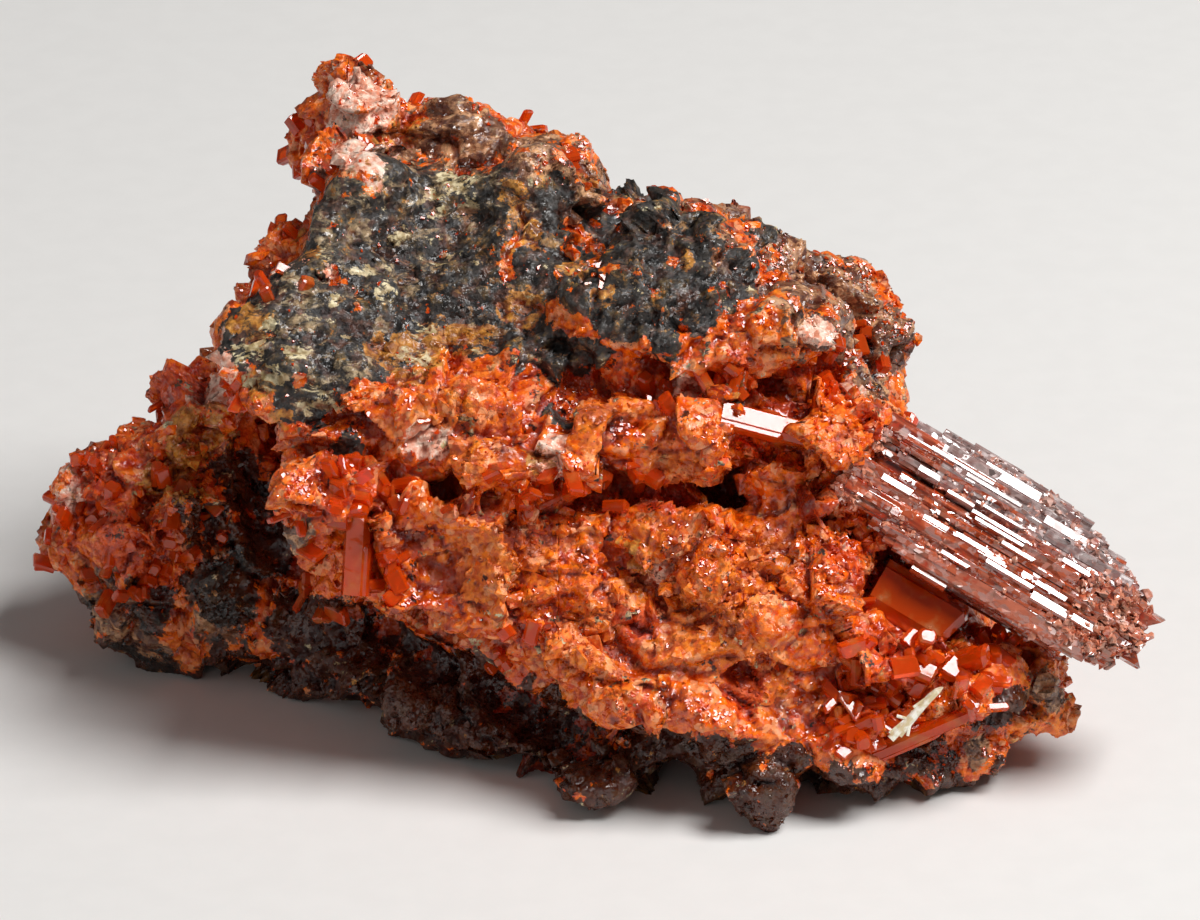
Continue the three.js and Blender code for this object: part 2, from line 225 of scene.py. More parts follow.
def redrawn(node, cell):
    """A closed copy of a CAD node's surface in quads about one cell wide, as points in mm and faces."""
    mesh = node.data.copy()
    copy = bpy.data.objects.new("copy", mesh)
    bpy.context.collection.objects.link(copy)
    remesh = copy.modifiers.new("remesh", "REMESH")
    remesh.mode = "VOXEL"
    remesh.voxel_size = cell
    fine = bpy.data.meshes.new_from_object(copy.evaluated_get(bpy.context.evaluated_depsgraph_get()))
    points = np.empty(len(fine.vertices) * 3)
    fine.vertices.foreach_get("co", points)
    quads = np.empty(len(fine.loops), int)
    fine.loops.foreach_get("vertex_index", quads)
    bpy.data.objects.remove(copy)
    bpy.data.meshes.remove(mesh)
    bpy.data.meshes.remove(fine)
    return points.reshape(-1, 3) / MM, quads.reshape(-1, 4)


def neighbours_mean(points, quads, times, strength):
    """The points, each moved a share of the way to the mean of those it has an edge with, again and
    again: p += strength * (mean(neighbours) - p)."""
    a = quads.ravel()
    b = np.roll(quads, -1, 1).ravel()
    ends, starts = np.concatenate([a, b]), np.concatenate([b, a])
    count = np.bincount(ends, minlength=len(points))[:, None]
    for _ in range(times):
        total = np.stack([np.bincount(ends, points[starts, c], len(points)) for c in range(3)], 1)
        points = points + strength * (total / count - points)
    return points


def facing(points, quads):
    """Each point's outward direction: the sum of the cross products of its quads' diagonals, made unit."""
    a, b, c, d = (points[quads[:, n]] for n in range(4))
    cross = np.cross(c - a, d - b)
    total = np.stack(
        [np.bincount(quads.ravel(), np.repeat(cross[:, n], 4), len(points)) for n in range(3)], 1
    )
    return total / np.linalg.norm(total, axis=1, keepdims=True)


def chance(i, j, k, seed):
    """An even pseudorandom number from 0 to 1 for each whole-number place and seed."""
    h = (i * 73856093) ^ (j * 19349663) ^ (k * 83492791) ^ (seed * 39916801)
    h = (h & 0xFFFFFFFF) * 2654435761 & 0xFFFFFFFF
    h = ((h ^ (h >> 15)) * 2246822519) & 0xFFFFFFFF
    return (h ^ (h >> 13)) / 2.0**32


def rough(points, size, seed):
    """Smooth noise from -1 to 1: random values at the corners of cubes of a size in mm, mixed by
    s = t * t * t * (t * (6 * t - 15) + 10) along each side."""
    whole = np.floor(points / size).astype(np.int64)
    t = points / size - whole
    s = t * t * t * (t * (6 * t - 15) + 10)
    total = 0
    for corner in np.ndindex(2, 2, 2):
        share = np.prod(np.where(corner, s, 1 - s), axis=1)
        total = total + share * chance(*(whole + corner).T, seed)
    return total * 2 - 1


def broken(points, size, seed, tilt):
    """Facets: each random cell of about a size in mm has a plane of its own, so the height is
    tilt * dot(random direction, offset from the cell's middle). Also the cell's own random value."""
    whole = np.floor(points / size).astype(np.int64)
    nearest = np.full(len(points), 9.0)
    height = np.zeros(len(points))
    value = np.zeros(len(points))
    for step in np.ndindex(3, 3, 3):
        cell = (whole + step - 1).T
        offset = points / size - np.stack([c + chance(*cell, seed + n) for n, c in enumerate(cell)], 1)
        away = np.linalg.norm(offset, axis=1)
        closer = away < nearest
        nearest = np.where(closer, away, nearest)
        slope = np.stack([chance(*cell, seed + 3 + n) - 0.5 for n in range(3)], 1)
        height = np.where(closer, (slope * offset).sum(1) * tilt * size, height)
        value = np.where(closer, chance(*cell, seed + 6), value)
    return height, value


def near_line(points, pixels, width):
    """1 on a line through the given pixels' spots, falling as exp(-(distance / width) ** 2)."""
    line = np.array([spot(*pixel) for pixel in pixels])
    least = np.full(len(points), 99.0)
    for a, b in zip(line[:-1], line[1:]):
        share = np.clip(((points - a) @ (b - a)) / ((b - a) @ (b - a)), 0, 1)[:, None]
        least = np.minimum(least, np.linalg.norm(points - a - share * (b - a), axis=1))
    return np.exp(-((least / width) ** 2))


def near_spots(points, patches):
    """How far each point lies inside any of the patches (u, v, radius in mm): 1 at a patch's middle,
    0 at its edge, below 0 outside."""
    inside = np.full(len(points), -9.0)
    for u, v, radius in patches:
        away = np.linalg.norm(points - spot(u, v), axis=1)
        inside = np.maximum(inside, 1 - away / radius)
    return inside


skin, quads = redrawn(rock, SKIN)
skin = neighbours_mean(skin, quads, 12, 0.5)
outward = facing(skin, quads)
away = np.clip(0.25 - 1.6 * (outward @ (0, -np.cos(LOOK_DOWN), np.sin(LOOK_DOWN))), 0, 1)

# Where each mineral shows, as pixels of the photograph and radii in mm: the black oxide of the cap and
# # the crag, limonite as ochre and earth, stained, bleached or grey-brown parts of the rock, and painted
# shade, near black, where the rock lies in shadow
CAP = [
    (266, 326, 1.3), (300, 300, 1.9), (350, 240, 2.1), (420, 200, 1.9), (480, 220, 1.7), (400, 290, 2),
    (470, 290, 1.7), (330, 360, 1.4), (380, 340, 1.3), (510, 330, 1.2), (540, 270, 1.4), (545, 205, 0.9),
    (300, 400, 0.8), (284, 372, 0.8),
]
CRAG = [
    (640, 250, 1.4), (690, 240, 1.2), (620, 310, 1.3), (690, 290, 1.3), (590, 290, 0.9), (660, 330, 0.9),
    (740, 275, 0.9), (560, 350, 0.8), (590, 345, 0.7), (565, 415, 0.6), (520, 360, 0.7), (700, 320, 0.8),
    (345, 440, 0.5), (320, 435, 0.4), (735, 488, 0.85), (746, 400, 0.35), (672, 195, 1),
    (640, 200, 0.9), (705, 215, 0.9), (750, 245, 0.8), (600, 225, 0.7),
]
OCHRE = [
    (515, 195, 0.6), (525, 225, 0.7), (570, 268, 0.6), (600, 300, 0.4), (400, 355, 0.9), (435, 340, 0.6),
    (300, 235, 0.5), (262, 285, 0.5), (228, 300, 0.3), (398, 140, 0.7), (340, 190, 0.4), (250, 405, 0.4),
    (285, 415, 0.4), (236, 322, 0.4), (240, 300, 0.5), (255, 345, 0.35), (262, 385, 0.35),
    (300, 260, 0.4), (540, 470, 0.5), (640, 560, 0.6), (480, 340, 0.5), (690, 260, 0.35), (200, 440, 0.9),
    (180, 480, 0.9), (520, 310, 0.5), (953, 645, 0.3),
]
CREAM = [
    (250, 350, 0.4), (246, 375, 0.4), (262, 310, 0.3), (345, 345, 0.5), (410, 360, 0.45), (300, 350, 0.4),
    (270, 380, 0.5), (310, 395, 0.5), (460, 180, 0.5), (430, 205, 0.4), (400, 235, 0.35),
    (360, 270, 0.35), (470, 210, 0.4), (420, 330, 0.35), (385, 300, 0.3), (270, 330, 0.35),
    (330, 400, 0.45), (390, 180, 0.35), (490, 165, 0.4), (440, 260, 0.3), (330, 300, 0.3),
]
PINK = [
    (225, 350, 0.9), (225, 385, 0.9), (350, 100, 1.4), (362, 130, 1.2), (365, 165, 1), (340, 85, 0.9),
    (290, 210, 0.9), (250, 415, 0.6), (70, 500, 0.8), (600, 470, 0.4), (655, 575, 0.5), (465, 90, 0.4),
    (680, 400, 0.8), (550, 455, 0.6), (430, 440, 0.6), (820, 330, 0.6), (850, 390, 0.6),
]
VEINED = [
    (340, 230, 2.2), (430, 200, 2), (300, 300, 1.8), (480, 190, 1.5), (400, 270, 1.2), (330, 380, 1.5),
]
EARTHY = [
    (490, 560, 1.8), (640, 580, 1.6), (700, 620, 1.8), (590, 640, 1.3), (760, 560, 1.2), (600, 410, 1.1),
    (450, 420, 1.2), (760, 660, 1.4), (480, 460, 0.9), (800, 320, 1.2), (680, 470, 0.9), (1040, 700, 1.2),
]
# Grey-brown rock; the last five patches darken the left lobe's lower side, partly its own colour and partly
# painted shade
GREY_AND_LOBE_SHADE = [
    (450, 115, 1.3), (500, 125, 1.1), (550, 165, 1), (600, 185, 0.9), (420, 90, 0.8), (780, 250, 0.9),
    (830, 280, 1), (730, 215, 0.7), (860, 330, 0.7), (640, 200, 0.9), (475, 150, 0.9), (580, 190, 1),
    (620, 210, 1), (665, 205, 0.9), (700, 225, 0.9), (530, 140, 1), (760, 275, 1), (1040, 690, 0.9),
    (980, 740, 0.6), (800, 270, 1.2), (850, 300, 1), (880, 360, 0.8), (820, 240, 0.9), (422, 155, 1.2),
    (450, 160, 1), (400, 165, 0.6), (820, 330, 1.2), (870, 300, 1), (890, 340, 0.9), (780, 225, 0.9),
    (800, 300, 1.1), (845, 335, 1.1), (870, 345, 1), (790, 240, 1), (880, 385, 0.8), (745, 215, 0.9),
    (440, 90, 1.2), (490, 105, 1.2), (530, 130, 1.2), (470, 140, 1.2), (565, 160, 1), (600, 175, 1),
    (640, 190, 1), (760, 235, 1), (720, 205, 0.8), (860, 290, 0.8), (110, 610, 1), (140, 650, 1.2),
    (210, 610, 1.1), (100, 640, 0.9), (230, 560, 0.8),
]
# Painted shade: near black under the front's lip, in the recess by the left lobe and on the lobe's lower
# side, where the rock lies in shadow
PAINTED_SHADE_PATCHES = [
    (350, 650, 1.8), (430, 700, 1.9), (520, 745, 1.7), (600, 780, 1.6), (680, 765, 1.4), (760, 795, 1.6),
    (840, 800, 0.9), (300, 625, 1.1), (400, 640, 1.1), (480, 690, 1.1), (560, 715, 1), (640, 745, 1.1),
    (940, 780, 0.9), (1030, 745, 0.9), (250, 480, 1.2), (260, 540, 1.2), (200, 520, 0.9), (225, 590, 1.1),
    (150, 610, 0.9), (90, 600, 0.7), (720, 760, 1.2), (860, 790, 0.8), (560, 705, 0.9), (600, 722, 0.9),
    (660, 742, 1), (720, 750, 0.8), (780, 772, 0.9), (850, 790, 1),
]
RED = [
    (100, 480, 1.6), (130, 560, 1.5), (180, 400, 1.2), (320, 135, 0.7), (870, 690, 1), (905, 660, 1.2),
    (850, 560, 0.8), (340, 500, 1), (310, 560, 1), (520, 645, 0.6), (640, 715, 0.7), (560, 495, 0.7),
    (660, 500, 0.6), (440, 610, 0.6), (700, 385, 0.6), (780, 410, 0.5), (560, 480, 0.6), (740, 690, 0.8),
    (640, 620, 0.7), (830, 350, 0.5), (900, 600, 1.4), (720, 360, 0.6),
]

# The brown ridge behind the cap, and the shoulders behind the right end
RIDGE = [(400, 92), (470, 92), (530, 122), (575, 162), (630, 195), (690, 212)]
SHOULDERS = [(735, 215), (790, 250), (845, 295), (880, 350)]


def mask(points, patches, wander, seed, sharp=1.3):
    """0 to 1 over the patches, with an edge that wanders by noise of about 0.9 and 0.35 mm. Where this is
    between, the material's own fine noise decides which mineral shows."""
    edge = wander * rough(points, 0.9, seed) + 0.5 * wander * rough(points, 0.35, seed + 1)
    return np.clip(near_spots(points, patches) * sharp + 0.5 + edge, 0, 1)


def minerals(points):
    """How much of each mineral shows at each point, from 0 to 1, and how much painted shade darkens it."""
    # Painted shade too within about 1.4 mm of the ground, darker towards the bottom
    low = np.clip(1.4 - points[:, 2] + rough(points, 0.9, 47), 0, 1)
    behind = np.maximum(near_line(points, RIDGE, 2.1), near_line(points, SHOULDERS, 1.6))
    return {
        "black": np.maximum(mask(points, CAP, 0.7, 31, 2), mask(points, CRAG, 0.9, 33, 2)),
        "ochre": mask(points, OCHRE, 1.1, 37),
        "cream": mask(points, CREAM, 0.7, 39),
        "pink": mask(points, PINK, 0.7, 41),
        "grey": np.maximum(mask(points, GREY_AND_LOBE_SHADE, 0.7, 43), behind * (0.75 + 0.5 * rough(points, 1.2, 49))),
        "painted_shade": np.maximum(mask(points, PAINTED_SHADE_PATCHES, 0.6, 35, 2), low),
        "red": mask(points, RED, 0.7, 45),
        "veined": mask(points, VEINED, 0.5, 55),
        "earthy": mask(points, EARTHY, 0.6, 57),
    }


cap = mask(skin, CAP, 0.9, 31, 3)
crag = mask(skin, CRAG, 1.0, 33, 3)
calm = 1 - 0.8 * cap

# The relief, from the broadest lumps to the edges of single grains
large, _ = broken(skin, 2.1, 10, 1.0)
middle, _ = broken(skin + 0.25 * rough(skin, 0.8, 12)[:, None], 0.95, 20, 1.25)
small, raised = broken(skin, 0.45, 50, 1.3)
relief = 0.15 * rough(skin, 2.4, 1) + 0.12 * rough(skin, 0.9, 2)
coarse = np.clip(0.65 + 0.9 * rough(skin, 1.8, 91), 0.1, 1.1)
relief += calm * (0.8 * large + 0.34 * middle)
relief += calm * coarse * (0.22 * small + 0.1 * raised) + calm * 0.08 * rough(skin, 0.28, 9)

# Shelves step down the front. Each rises as the square of the way down it, and then drops
SHELF = 1.7
down = skin @ (-0.18, -0.1, -0.98) + 1.3 * rough(skin, 2.6, 14) + 0.55 * rough(skin, 0.9, 15)
shelf = down / SHELF - np.floor(down / SHELF)
shelf = shelf ** 2 * np.clip((1 - shelf) / 0.12, 0, 1)
fore = np.clip(-outward[:, 1] * 2.0 + 0.3, 0, 1) * np.clip(rough(skin, 3.1, 16) * 1.5 + 0.8, 0, 1)
relief += calm * fore * 0.55 * (shelf - 0.3)
streak = rough(skin * (0.6, 1.7, 1.7), 0.6, 7)
relief += cap * (0.07 * streak + 0.06 * rough(skin, 0.3, 8) + 0.05 * raised)
relief += 0.16 * crag + 0.12 * crag * raised

# Ledges and crests that stand out, and gaps and holes that go in: pixels, then height and width in mm
RAISED = [
    ([(330, 590), (430, 620), (530, 672), (640, 700), (720, 715), (800, 740), (880, 762)], 0.4, 0.5),
    ([(395, 450), (470, 470), (560, 462), (640, 440), (705, 432)], 0.4, 0.45),
    ([(575, 330), (640, 345), (700, 350), (770, 350), (835, 345)], 0.25, 0.5),
    ([(590, 620), (660, 640), (740, 660), (800, 690)], 0.2, 0.5),
    ([(470, 400), (500, 410), (530, 400)], 0.35, 0.6),
    ([(960, 727), (970, 730)], 0.3, 0.4),
    ([(400, 100), (470, 98), (530, 125), (575, 165)], 0.6, 0.9),
    ([(230, 410), (300, 450), (330, 470)], 0.3, 0.4),
]
CUT = [
    ([(430, 492), (520, 499), (600, 496), (700, 486)], 0.95, 0.34),
    ([(600, 384), (660, 394), (730, 394), (800, 392)], 0.6, 0.28),
    ([(260, 425), (310, 455), (370, 455)], 0.5, 0.3),
    ([(565, 405), (568, 425)], 0.5, 0.35),
    ([(610, 560), (660, 600), (700, 610)], 0.4, 0.4),
    ([(440, 570), (470, 600)], 0.3, 0.35),
    ([(560, 610), (600, 640)], 0.3, 0.35),
    ([(350, 630), (440, 665), (530, 712), (620, 738), (700, 755), (800, 782)], 0.9, 0.75),
    ([(560, 745), (600, 770)], 0.5, 0.6),
    ([(724, 478), (748, 500)], 2.8, 0.66),
    ([(744, 399), (748, 402)], 0.6, 0.25),
    ([(255, 430), (262, 480), (270, 540), (295, 590)], 0.8, 0.7),
    ([(640, 190), (672, 186), (695, 196)], 1.1, 0.8),
    ([(860, 640), (900, 660), (930, 690)], 0.4, 0.6),
]
for pixels, height, width in RAISED:
    relief += height * near_line(skin, pixels, width)
for pixels, depth, width in CUT:
    relief -= depth * near_line(skin, pixels, width)

skin = skin + outward * relief[:, None]
skin[:, 2] = np.maximum(skin[:, 2], 0.0)
outward = facing(skin, quads)
masks = minerals(skin)

# How hollow the skin is at each point, from its offset to the mean of those around it. It sets where shade is
# painted into hollows and a highlight onto edges
hollow = ((neighbours_mean(skin, quads, 5, 0.6) - skin) * outward).sum(1) / 0.13
hollow = hollow + ((neighbours_mean(skin, quads, 60, 0.9) - skin) * outward).sum(1) / 0.5
hollow = np.clip(0.5 + hollow, 0, 1)


def give(mesh, numbers_by_name):
    """Stores a number at each point of a mesh under each name."""
    for name, numbers in numbers_by_name.items():
        layer = mesh.attributes.new(name, "FLOAT", "POINT")
        layer.data.foreach_set("value", numbers.astype(np.float32))


def solid(name, points, faces):
    """A closed piece from points in mm and equal-sided faces."""
    mesh = bpy.data.meshes.new(name)
    mesh.vertices.add(len(points))
    mesh.vertices.foreach_set("co", (points * MM).ravel())
    mesh.loops.add(faces.size)
    mesh.loops.foreach_set("vertex_index", faces.ravel())
    mesh.polygons.add(len(faces))
    mesh.polygons.foreach_set("loop_start", np.arange(0, faces.size, faces.shape[1]))
    mesh.update(calc_edges=True)
    mesh.validate()
    piece = bpy.data.objects.new(name, mesh)
    bpy.context.collection.objects.link(piece)
    return piece


def kept_in(piece, name, low, high):
    """A closed piece of another: what lies inside a box between two corners in mm."""
    knife = bpy.data.objects.new("knife", bpy.data.meshes.new("knife"))
    corners = np.where(np.array(list(np.ndindex(2, 2, 2))), high, low) * MM
    knife.data.from_pydata(
        corners, [], [(0, 1, 3, 2), (4, 6, 7, 5), (0, 4, 5, 1), (2, 3, 7, 6), (0, 2, 6, 4), (1, 5, 7, 3)]
    )
    bpy.context.collection.objects.link(knife)
    cut = piece.modifiers.new("cut", "BOOLEAN")
    cut.operation = "INTERSECT"
    cut.solver = "MANIFOLD"
    cut.object = knife
    mesh = bpy.data.meshes.new_from_object(piece.evaluated_get(bpy.context.evaluated_depsgraph_get()))
    mesh.name = name
    mesh.materials.clear()
    normal = np.empty(len(mesh.polygons) * 3)
    mesh.polygons.foreach_get("normal", normal)
    mesh.polygons.foreach_set("use_smooth", np.abs(normal.reshape(-1, 3)).max(1) < 0.99999)
    piece.modifiers.remove(cut)
    bpy.data.objects.remove(knife)
    part = bpy.data.objects.new(name, mesh)
    bpy.context.collection.objects.link(part)
    return part


made, base, surface, place = material("matrix_rock")
masked = {name: base.stored(name) for name in masks}
fine = place.noise(4.0, 3.0)
broad = place.noise(0.8, 4.0)
cell = place.cells(4.0).parts()[0]
stretched = base.vector("MULTIPLY", place, (0.8, 1.1, 1.5))
wave = stretched.noise(1.5, 5.0, Roughness=0.72, Distortion=0.6)
edges = [part - 0.5 for part in place.noise(1.5, 5.0, "Color", Roughness=0.7).parts()]


def where(name, turn, low=0.44, high=0.56):
    """A mask with its edge broken up into specks and lace by one of three noises."""
    return (masked[name] + edges[turn] * 3.4).rise(low, high)


def shades(first, second):
    """Two colours mottled by the fine noise."""
    return fine.rise(0.34, 0.66).between(rgb(*first), rgb(*second))


black = where("black", 0)
red = where("red", 1)

# The sides and back, which the photograph does not show, carry the same minerals in patches of 2 to 4 mm
kinds = place.noise(0.32, 5.0, "Color", Roughness=0.62).parts()
brown, ruddy, rusty = (part.rise(0.53, 0.57) * base.stored("away") for part in kinds)
earthy = where("earthy", 2)


def layered(colour, layers):
    """A colour with others laid over it in turn, each a share and its two shades."""
    for share, first, second in layers:
        colour = share.between(colour, shades(first, second))
    return colour


colour = layered(shades((206, 62, 2), (252, 116, 14)), [
    (earthy * 0.9, (204, 82, 8), (252, 134, 28)),
    (broad.rise(0.5, 0.6) * 0.6, (212, 84, 16), (254, 138, 54)),
    (broad.rise(0.44, 0.36) * 0.75, (116, 32, 6), (180, 64, 16)),
    (cell.rise(0.84, 0.88) * 0.5, (255, 178, 124), (255, 178, 124)),
    (red * 0.75, (166, 28, 2), (232, 78, 14)),
])
mottled = layered(shades((46, 36, 32), (108, 80, 60)), [
    (wave.rise(0.48, 0.58), (146, 106, 76), (208, 160, 118)),
])
colour = layered((where("grey", 0) * 0.9).between(colour, mottled), [
    (where("pink", 2) * 0.85, (236, 150, 118), (255, 228, 208)),
    # Painted shade, near black, where the rock lies in shadow
    (where("painted_shade", 1) * 0.92, (6, 3, 3), (28, 10, 7)),
    (rusty * 0.85, (128, 78, 30), (204, 144, 72)),
    (ruddy * 0.8, (158, 30, 6), (214, 82, 26)),
    (brown * 0.92, (30, 24, 22), (98, 74, 58)),
])
dark = layered(shades((20, 18, 18), (58, 51, 47)), [
    (edges[1].rise(0.0, 0.12) * 0.6, (70, 40, 32), (124, 80, 62)),
    (edges[2].rise(0.02, 0.14) * 0.7, (84, 64, 36), (124, 98, 60)),
    (wave.rise(0.58, 0.64) * 0.7, (134, 92, 50), (190, 140, 86)),
    (where("veined", 1) * wave.rise(0.5, 0.6) * 0.8, (108, 88, 62), (196, 168, 130)),
])
colour = layered(black.between(colour, dark), [
    (where("ochre", 2) * wave.rise(0.4, 0.5) * 0.9, (150, 84, 20), (222, 150, 62)),
    (where("cream", 0) * wave.rise(0.47, 0.52), (160, 134, 88), (232, 214, 172)),
])

# Painted shade deepens the colour in hollows, and a painted highlight makes edges paler
sunk = base.stored("hollow")
painted_hollow_shade = base.vector("MULTIPLY", colour, (0.42, 0.17, 0.1))
colour = (sunk.rise(0.54, 0.92) * 0.9).between(colour, painted_hollow_shade)
painted_edge_highlight = base.vector("MULTIPLY_ADD", colour, (1.2, 1.3, 1.35), (0.012, 0.008, 0.004))
colour = (sunk.rise(0.36, 0.1) * 0.6).between(colour, painted_edge_highlight)
colour.feed(surface["Base Color"])
gloss = 0.14 + (edges[0] + 0.5).rise(0.46, 0.56) * 0.34 + (cell - 0.5) * 0.2 + black * 0.2 + earthy * 0.2
gloss = gloss - base.stored("glint") * 0.3
gloss.feed(surface["Roughness"])

# Each small grain has a face of its own, so its normal is the skin's plus a random tilt for each cell
outer = base.node("NewGeometry", out="Normal")
for scale, tilt in ((3.4, 0.5), (8.0, 0.7)):
    grains = place.cells(scale)
    leaning = base.vector("SUBTRACT", grains, (0.5, 0.5, 0.5))
    outer = base.vector("MULTIPLY_ADD", leaning, (tilt, tilt, tilt), outer)
outer = base.vector("NORMALIZE", outer)
grit = place.noise(11.0, 2.0)
height = grit * (base.stored("coarse") * 0.8 + 0.25)
bump = base.node("Bump", values={"Height": height, "Normal": outer, "Strength": 0.6, "Distance": 0.07 * MM})
bump.feed(surface["Normal"])
surface["IOR"].default_value = 1.62
rock_material = made

whole = solid("whole", skin, quads)
give(whole.data, {"hollow": hollow, "away": away, "coarse": coarse})
for name, low, high in (
    ("matrix_upper", (-30, -30, 10.2), (30, 30, 30)),
    ("matrix_lower_left", (-30, -30, -1), (-1, 30, 10.2)),
    ("matrix_lower_right", (-1, -30, -1), (30, 30, 10.2)),
):
    part = kept_in(whole, name, low, high)
    points = np.empty(len(part.data.vertices) * 3)
    part.data.vertices.foreach_get("co", points)
    give(part.data, minerals(points.reshape(-1, 3) / MM))
    part.data.materials.append(rock_material)
    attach(part, "root")
    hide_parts("matrix")
bpy.data.objects.remove(whole)


# Crocoite and limonite grains stand on the rock all over, from dust to half a millimetre. They grew or
# broke in place, so each is a small angular chunk sunk partly into the skin, joined to others of its kind.
def hull(points):
    """The convex hull of some points as points and triangles."""
    mesh = bmesh.new()
    for point in points:
        mesh.verts.new(point)
    bmesh.ops.convex_hull(mesh, input=mesh.verts)
    bmesh.ops.delete(mesh, geom=[v for v in mesh.verts if not v.link_faces], context="VERTS")
    bmesh.ops.triangulate(mesh, faces=mesh.faces)
    bmesh.ops.recalc_face_normals(mesh, faces=mesh.faces)
    mesh.verts.index_update()
    corners = np.array([v.co for v in mesh.verts])
    faces = np.array([[v.index for v in f.verts] for f in mesh.faces])
    mesh.free()
    return corners, faces


def copies(shapes, places, frames, sizes):
    """Copies of a few shapes joined in one mesh: corner = place + (shape corner * size) @ frame, the
    shapes taken in turn. Also, for each corner, the number of its copy."""
    corners, faces, owners, first = [], [], [], 0
    for turn, (points, triangles) in enumerate(shapes):
        mine = np.arange(turn, len(places), len(shapes))
        moved = places[mine, None] + (points * sizes[mine, None]) @ frames[mine]
        starts = first + np.arange(len(mine)) * len(points)
        corners.append(moved.reshape(-1, 3))
        faces.append((triangles + starts[:, None, None]).reshape(-1, 3))
        owners.append(np.repeat(mine, len(points)))
        first += len(mine) * len(points)
    return np.concatenate(corners), np.concatenate(faces), np.concatenate(owners)


def random_frames(random, count):
    """Evenly random turns: the orthogonal part of matrices of normal random numbers."""
    frames = np.linalg.qr(random.normal(size=(count, 3, 3)))[0]
    frames[:, 0] *= np.sign(np.linalg.det(frames))[:, None]
    return frames


def on_skin(random, count, weight):
    """Random points of the skin, each quad as likely as its area times the weight at its first corner:
    the points, and the number of that corner."""
    a, b, c, d = (skin[quads[:, n]] for n in range(4))
    area = np.linalg.norm(np.cross(c - a, d - b), axis=1) * weight[quads[:, 0]]
    chosen = random.choice(len(quads), count, p=area / area.sum())
    u, v = random.random((2, count, 1))
    near = (1 - u) * a[chosen] + u * b[chosen]
    far = (1 - u) * d[chosen] + u * c[chosen]
    return (1 - v) * near + v * far, quads[chosen, 0]


def turned_to(random, aims, spread):
    """Frames whose first axis is the aim plus normal noise, the other two random but square to it."""
    first = aims + random.normal(0, spread, aims.shape)
    first /= np.linalg.norm(first, axis=1, keepdims=True)
    second = np.cross(first, random.normal(size=aims.shape))
    second /= np.linalg.norm(second, axis=1, keepdims=True)
    return np.stack([first, second, np.cross(first, second)], 1)


def dressed(name, material, node, points, faces, numbers=()):
    """Finishes a piece made of joined copies, kept above the ground the specimen rests on."""
    points[:, 2] = np.maximum(points[:, 2], 0.0)
    piece = solid(name, points, faces)
    piece.data.shade_flat()
    give(piece.data, dict(numbers))
    piece.data.materials.append(material)
    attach(piece, "root")
    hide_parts(node)


# Where the separate crystals are rooted, grains close in around them
ROOTS = [
    (860, 415), (850, 450), (868, 480), (905, 520), (748, 428), (835, 448), (865, 560), (885, 545),
    (838, 560), (960, 655), (900, 738), (350, 588), (350, 540),
]
roots = np.array([spot(*pixel) for pixel in ROOTS])
near_root = np.exp(-(np.linalg.norm(skin[:, None] - roots, axis=2).min(1) / 0.7) ** 2)
random = np.random.default_rng(7)
CHUNKS = [
    [hull(random.normal(size=(corners, 3)) * 0.15 + random_frames(random, 5).reshape(-1, 3)[:corners])
     for _ in range(5)]
    for corners in (14, 8)
]
clumps = np.clip(rough(skin, 1.3, 61) + rough(skin, 0.6, 62) + 0.2, 0.08, 1) + 0.5 * masks["earthy"]
crystalline = (clumps * coarse + 2 * near_root) * (1 - 0.9 * masks["black"]) * (1 - 0.5 * masks["grey"])
crystalline *= skin[:, 2] > 0.3
for name, shapes, count, least, most, power in (
    ("coarse_grains", CHUNKS[0], 2600, 0.13, 0.42, 3),
    ("fine_grains", CHUNKS[1], 12500, 0.05, 0.14, 1.5),
):
    places, corner = on_skin(random, count, crystalline)
    sizes = least + (most - least) * random.random((count, 1)) ** power
    sizes = sizes * random.uniform(0.6, 1.3, (count, 3))
    places = places - outward[corner] * sizes.min(1, keepdims=True) * 0.2
    points, faces, owner = copies(shapes, places, random_frames(random, count), sizes)
    numbers = {kind: shown[corner][owner] for kind, shown in masks.items()}
    numbers["glint"] = (random.random(count) < 0.3)[owner]
    # Each grain takes the painted shade or painted edge highlight of the skin under it
    numbers["hollow"] = np.clip(hollow[corner], 0.2, 0.7)[owner]
    numbers["away"] = away[corner][owner]
    dressed(name, rock_material, "matrix", points, faces, numbers)


# The striated bundle is a stack of parallel crocoite bars, some 11 mm long, that grew out of the right
# side of the rock. Steps run along its faces where bars end, and some faces are as bright as mirrors.
ALONG = np.array([0.861, -0.228, -0.455])
OUT = np.array([0.0, -0.893, 0.45])
ACROSS = np.cross(OUT, ALONG)
BUNDLE_FRAME = np.stack([ALONG, ACROSS, OUT])
BUNDLE_FOOT = np.array([0.26, -2.58, 0.0])


def rolled(frames, angles):
    """Frames turned about their first axis: b' = b cos(t) + c sin(t), c' = c cos(t) - b sin(t)."""
    c, s = np.cos(angles)[:, None], np.sin(angles)[:, None]
    return np.stack(
        [frames[:, 0], frames[:, 1] * c + frames[:, 2] * s, frames[:, 2] * c - frames[:, 1] * s], 1
    )


def eight_sided(side, top):
    """An outline of eight corners, from the two in its first quarter."""
    half = np.array([side, top, (-top[0], top[1]), (-side[0], side[1])])
    return np.concatenate([half, -half])


def bar_shape(lean, point):
    """A bar of unit length along X, two units broad and thick, with eight sides and a slanted end."""
    ring = eight_sided((1, 0.4), (0.75, 1))
    foot = np.column_stack([np.zeros(8), ring])
    tip = np.column_stack([1 + lean * ring[:, 0] + point * np.abs(ring[:, 1]), ring * (1 - 0.15 * point)])
    return hull(np.concatenate([foot, tip]))


BARS = [bar_shape(0.0, 0.0), bar_shape(0.05, 0.0), bar_shape(-0.04, 0.02), bar_shape(0.02, -0.03)]

